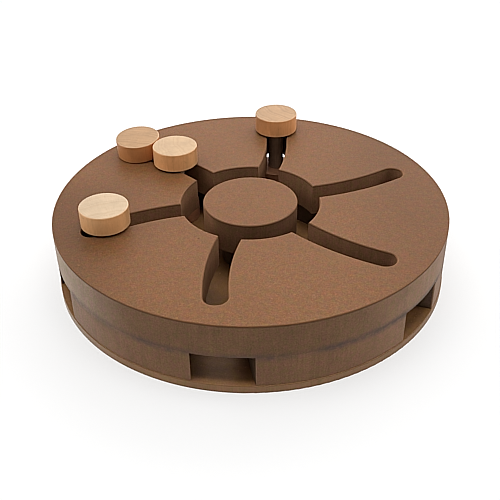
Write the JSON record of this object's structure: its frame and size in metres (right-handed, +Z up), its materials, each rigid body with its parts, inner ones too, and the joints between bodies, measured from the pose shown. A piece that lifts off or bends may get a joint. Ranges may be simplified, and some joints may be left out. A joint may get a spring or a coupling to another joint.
{
  "type": "puzzle feeder toy",
  "caption": "Round layered board puzzle feeder: spool pucks slide along curved slots into a ring channel, above tunnels that lead treats to side openings.",
  "frame": {"origin": "centre of the underside of the base plate", "axes": "+Z up out of the slotted board, -Y towards the front as the picture shows it, +X to the right"},
  "size_m": [0.2912, 0.2912, 0.0718],
  "materials": {
    "board_stain": "satin brown stain on fibreboard",
    "block_stain": "satin dark brown stain on fibreboard edge",
    "base_stain": "satin brown stain on thin board",
    "beech": "clear satin lacquer on beech",
    "dark_dowel": "dark brown stain on dowel",
    "foot_stain": "brown stain on a turned wood disc",
    "screw_steel": "zinc plated"
  },
  "bodies": {
    "feeder": {"base_plate": "base_stain", "spacer_block_1": "block_stain", "spacer_block_2": "block_stain", "spacer_block_3": "block_stain", "spacer_block_4": "block_stain", "spacer_block_5": "block_stain", "spacer_block_6": "block_stain", "centre_post": "block_stain", "centre_disc": "board_stain", "top_board": "board_stain", "base_screws": "screw_steel"},
    "stem_left": {"puck_stem_left": "dark_dowel", "puck_foot_left": "foot_stain"},
    "head_left": {"puck_head_left": "beech"},
    "stem_outer": {"puck_stem_outer": "dark_dowel", "puck_foot_outer": "foot_stain"},
    "head_outer": {"puck_head_outer": "beech"},
    "stem_inner": {"puck_stem_inner": "dark_dowel", "puck_foot_inner": "foot_stain"},
    "head_inner": {"puck_head_inner": "beech"},
    "stem_back": {"puck_stem_back": "dark_dowel", "puck_foot_back": "foot_stain"},
    "head_back": {"puck_head_back": "beech"}
  },
  "joints": [
    {"name": "left_slot_travel", "type": "hinge", "parent": "feeder", "child": "stem_left", "pos_m": [-0.01134, -0.1857, 0.0545], "axis": [0, 0, 1], "range_deg": [-21.1, 3.6]},
    {"name": "left_puck_turn", "type": "hinge", "parent": "stem_left", "child": "head_left", "pos_m": [-0.1029, -0.03107, 0.0545], "axis": [0, 0, 1], "continuous": true},
    {"name": "outer_slot_travel", "type": "hinge", "parent": "feeder", "child": "stem_outer", "pos_m": [-0.16649, -0.08303, 0.0545], "axis": [0, 0, 1], "range_deg": [-6.2, 0]},
    {"name": "outer_puck_turn", "type": "hinge", "parent": "stem_outer", "child": "head_outer", "pos_m": [-0.09007, 0.0764, 0.0545], "axis": [-0.039, -0.0578, 0.9976], "continuous": true},
    {"name": "inner_slot_travel", "type": "hinge", "parent": "stem_outer", "child": "stem_inner", "pos_m": [-0.16649, -0.08303, 0.0545], "axis": [0, 0, 1], "range_deg": [-7.2, 0]},
    {"name": "inner_puck_turn", "type": "hinge", "parent": "stem_inner", "child": "head_inner", "pos_m": [-0.05929, 0.05882, 0.0545], "axis": [0, 0, 1], "continuous": true},
    {"name": "back_slot_travel", "type": "hinge", "parent": "feeder", "child": "stem_back", "pos_m": [-0.15515, 0.10267, 0.0545], "axis": [0, 0, 1], "range_deg": [-24.9, 0.2]},
    {"name": "back_puck_turn", "type": "hinge", "parent": "stem_back", "child": "head_back", "pos_m": [0.02292, 0.1164, 0.0545], "axis": [0, 0, 1], "continuous": true}
  ]
}
